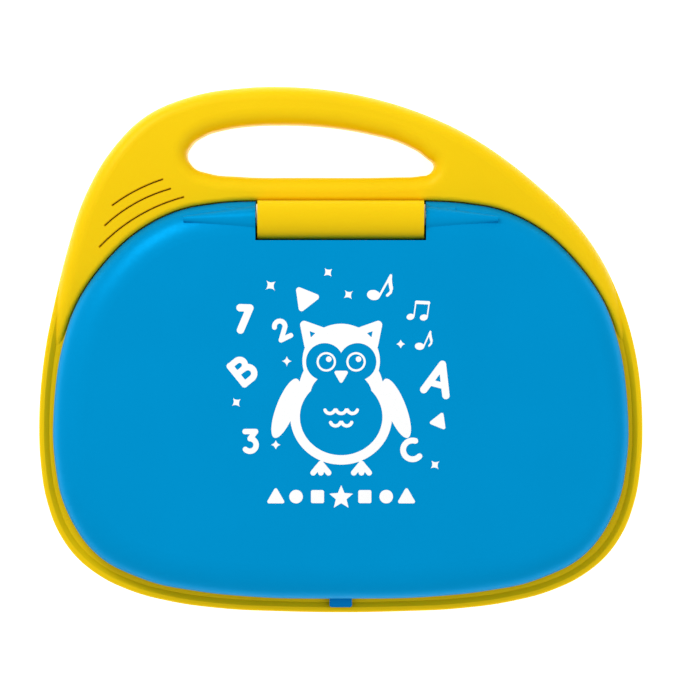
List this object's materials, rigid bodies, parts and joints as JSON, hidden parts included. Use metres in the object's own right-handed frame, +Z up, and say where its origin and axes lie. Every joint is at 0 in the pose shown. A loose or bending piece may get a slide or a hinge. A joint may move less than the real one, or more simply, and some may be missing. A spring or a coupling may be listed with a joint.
{
  "type": "toy laptop computer",
  "caption": "Child's toy laptop, closed: rounded yellow clam-shell base with a leaning carry handle, blue domed lid on a rear hinge, letter keys and screen inside.",
  "frame": {"origin": "centre of the bounding box, on the surface that the rubber feet stand on", "axes": "+Z up, +Y towards the carrying handle at the rear, +X to the right of a child facing the keys"},
  "size_m": [0.2694, 0.2347, 0.047],
  "materials": {
    "shell_yellow": "smooth moulded ABS, satin gloss",
    "lid_blue": "smooth moulded ABS, satin gloss",
    "panel_blue": "fine moulded grain",
    "soft_rubber": "moulded rubber",
    "screw_steel": "zinc plated steel",
    "rod_steel": "drawn steel",
    "washer_nylon": "natural nylon",
    "switch_black": "black plastic",
    "circuit_board": "solder resist",
    "membrane_rubber": "silicone rubber",
    "speaker_black": "paper cone and steel frame",
    "cell_jacket": "plain printed jacket",
    "contact_nickel": "nickel plated spring steel",
    "clear_window": "clear polycarbonate",
    "display_glass": "grey-green liquid crystal panel",
    "key_white": "smooth moulded ABS",
    "button_green": "smooth moulded ABS",
    "button_orange": "smooth moulded ABS",
    "button_yellow": "smooth moulded ABS",
    "button_purple": "smooth moulded ABS",
    "knob_red": "smooth moulded ABS"
  },
  "bodies": {
    "base": {"base_upper_shell": "shell_yellow", "base_lower_shell": "shell_yellow", "rubber_feet": "soft_rubber", "lid_bumpers": "soft_rubber", "housing_screws": "screw_steel", "hinge_barrel": "shell_yellow", "hinge_rod": "rod_steel", "hinge_washers": "washer_nylon", "power_switch": "switch_black", "main_board": "circuit_board", "keypad_membrane": "membrane_rubber", "board_screws": "screw_steel", "speaker": "speaker_black", "speaker_retainer": "switch_black", "batteries": "cell_jacket", "battery_contacts": "contact_nickel", "battery_springs": "contact_nickel", "battery_door": "shell_yellow", "battery_door_screw": "screw_steel"},
    "lid": {"lid_outer_shell": "lid_blue", "lid_inner_panel": "panel_blue", "screen_window": "clear_window", "display": "display_glass", "display_board": "circuit_board", "display_screws": "screw_steel", "lid_screws": "screw_steel"},
    "key_q": {"key_q": "key_white"},
    "key_w": {"key_w": "key_white"},
    "key_e": {"key_e": "key_white"},
    "key_r": {"key_r": "key_white"},
    "key_t": {"key_t": "key_white"},
    "key_y": {"key_y": "key_white"},
    "key_u": {"key_u": "key_white"},
    "key_i": {"key_i": "key_white"},
    "key_o": {"key_o": "key_white"},
    "key_p": {"key_p": "key_white"},
    "key_a": {"key_a": "key_white"},
    "key_s": {"key_s": "key_white"},
    "key_d": {"key_d": "key_white"},
    "key_f": {"key_f": "key_white"},
    "key_g": {"key_g": "key_white"},
    "key_h": {"key_h": "key_white"},
    "key_j": {"key_j": "key_white"},
    "key_k": {"key_k": "key_white"},
    "key_l": {"key_l": "key_white"},
    "key_z": {"key_z": "key_white"},
    "key_x": {"key_x": "key_white"},
    "key_c": {"key_c": "key_white"},
    "key_v": {"key_v": "key_white"},
    "key_b": {"key_b": "key_white"},
    "key_n": {"key_n": "key_white"},
    "key_m": {"key_m": "key_white"},
    "button_play": {"button_play": "button_green"},
    "button_music": {"button_music": "button_orange"},
    "button_star": {"button_star": "button_yellow"},
    "button_repeat": {"button_repeat": "button_purple"},
    "button_back": {"button_back": "knob_red"},
    "button_next": {"button_next": "knob_red"},
    "power_switch_knob": {"power_switch_knob": "knob_red"}
  },
  "joints": [
    {"name": "lid_hinge", "type": "hinge", "parent": "base", "child": "lid", "pos_m": [0, 0.0595, 0.038], "axis": [-1, 0, 0], "range_deg": [0, 100]},
    {"name": "key_q_press", "type": "slide", "parent": "base", "child": "key_q", "axis": [0, 0, -1], "range_m": [0, 0.002], "stiffness_N_per_m": 400},
    {"name": "key_w_press", "type": "slide", "parent": "base", "child": "key_w", "axis": [0, 0, -1], "range_m": [0, 0.002], "stiffness_N_per_m": 400},
    {"name": "key_e_press", "type": "slide", "parent": "base", "child": "key_e", "axis": [0, 0, -1], "range_m": [0, 0.002], "stiffness_N_per_m": 400},
    {"name": "key_r_press", "type": "slide", "parent": "base", "child": "key_r", "axis": [0, 0, -1], "range_m": [0, 0.002], "stiffness_N_per_m": 400},
    {"name": "key_t_press", "type": "slide", "parent": "base", "child": "key_t", "axis": [0, 0, -1], "range_m": [0, 0.002], "stiffness_N_per_m": 400},
    {"name": "key_y_press", "type": "slide", "parent": "base", "child": "key_y", "axis": [0, 0, -1], "range_m": [0, 0.002], "stiffness_N_per_m": 400},
    {"name": "key_u_press", "type": "slide", "parent": "base", "child": "key_u", "axis": [0, 0, -1], "range_m": [0, 0.002], "stiffness_N_per_m": 400},
    {"name": "key_i_press", "type": "slide", "parent": "base", "child": "key_i", "axis": [0, 0, -1], "range_m": [0, 0.002], "stiffness_N_per_m": 400},
    {"name": "key_o_press", "type": "slide", "parent": "base", "child": "key_o", "axis": [0, 0, -1], "range_m": [0, 0.002], "stiffness_N_per_m": 400},
    {"name": "key_p_press", "type": "slide", "parent": "base", "child": "key_p", "axis": [0, 0, -1], "range_m": [0, 0.002], "stiffness_N_per_m": 400},
    {"name": "key_a_press", "type": "slide", "parent": "base", "child": "key_a", "axis": [0, 0, -1], "range_m": [0, 0.002], "stiffness_N_per_m": 400},
    {"name": "key_s_press", "type": "slide", "parent": "base", "child": "key_s", "axis": [0, 0, -1], "range_m": [0, 0.002], "stiffness_N_per_m": 400},
    {"name": "key_d_press", "type": "slide", "parent": "base", "child": "key_d", "axis": [0, 0, -1], "range_m": [0, 0.002], "stiffness_N_per_m": 400},
    {"name": "key_f_press", "type": "slide", "parent": "base", "child": "key_f", "axis": [0, 0, -1], "range_m": [0, 0.002], "stiffness_N_per_m": 400},
    {"name": "key_g_press", "type": "slide", "parent": "base", "child": "key_g", "axis": [0, 0, -1], "range_m": [0, 0.002], "stiffness_N_per_m": 400},
    {"name": "key_h_press", "type": "slide", "parent": "base", "child": "key_h", "axis": [0, 0, -1], "range_m": [0, 0.002], "stiffness_N_per_m": 400},
    {"name": "key_j_press", "type": "slide", "parent": "base", "child": "key_j", "axis": [0, 0, -1], "range_m": [0, 0.002], "stiffness_N_per_m": 400},
    {"name": "key_k_press", "type": "slide", "parent": "base", "child": "key_k", "axis": [0, 0, -1], "range_m": [0, 0.002], "stiffness_N_per_m": 400},
    {"name": "key_l_press", "type": "slide", "parent": "base", "child": "key_l", "axis": [0, 0, -1], "range_m": [0, 0.002], "stiffness_N_per_m": 400},
    {"name": "key_z_press", "type": "slide", "parent": "base", "child": "key_z", "axis": [0, 0, -1], "range_m": [0, 0.002], "stiffness_N_per_m": 400},
    {"name": "key_x_press", "type": "slide", "parent": "base", "child": "key_x", "axis": [0, 0, -1], "range_m": [0, 0.002], "stiffness_N_per_m": 400},
    {"name": "key_c_press", "type": "slide", "parent": "base", "child": "key_c", "axis": [0, 0, -1], "range_m": [0, 0.002], "stiffness_N_per_m": 400},
    {"name": "key_v_press", "type": "slide", "parent": "base", "child": "key_v", "axis": [0, 0, -1], "range_m": [0, 0.002], "stiffness_N_per_m": 400},
    {"name": "key_b_press", "type": "slide", "parent": "base", "child": "key_b", "axis": [0, 0, -1], "range_m": [0, 0.002], "stiffness_N_per_m": 400},
    {"name": "key_n_press", "type": "slide", "parent": "base", "child": "key_n", "axis": [0, 0, -1], "range_m": [0, 0.002], "stiffness_N_per_m": 400},
    {"name": "key_m_press", "type": "slide", "parent": "base", "child": "key_m", "axis": [0, 0, -1], "range_m": [0, 0.002], "stiffness_N_per_m": 400},
    {"name": "button_play_press", "type": "slide", "parent": "base", "child": "button_play", "axis": [0, 0, -1], "range_m": [0, 0.002], "stiffness_N_per_m": 400},
    {"name": "button_music_press", "type": "slide", "parent": "base", "child": "button_music", "axis": [0, 0, -1], "range_m": [0, 0.002], "stiffness_N_per_m": 400},
    {"name": "button_star_press", "type": "slide", "parent": "base", "child": "button_star", "axis": [0, 0, -1], "range_m": [0, 0.002], "stiffness_N_per_m": 400},
    {"name": "button_repeat_press", "type": "slide", "parent": "base", "child": "button_repeat", "axis": [0, 0, -1], "range_m": [0, 0.002], "stiffness_N_per_m": 400},
    {"name": "button_back_press", "type": "slide", "parent": "base", "child": "button_back", "axis": [0, 0, -1], "range_m": [0, 0.002], "stiffness_N_per_m": 400},
    {"name": "button_next_press", "type": "slide", "parent": "base", "child": "button_next", "axis": [0, 0, -1], "range_m": [0, 0.002], "stiffness_N_per_m": 400},
    {"name": "power_switch_slide", "type": "slide", "parent": "base", "child": "power_switch_knob", "axis": [1, 0, 0], "range_m": [0, 0.005]}
  ]
}
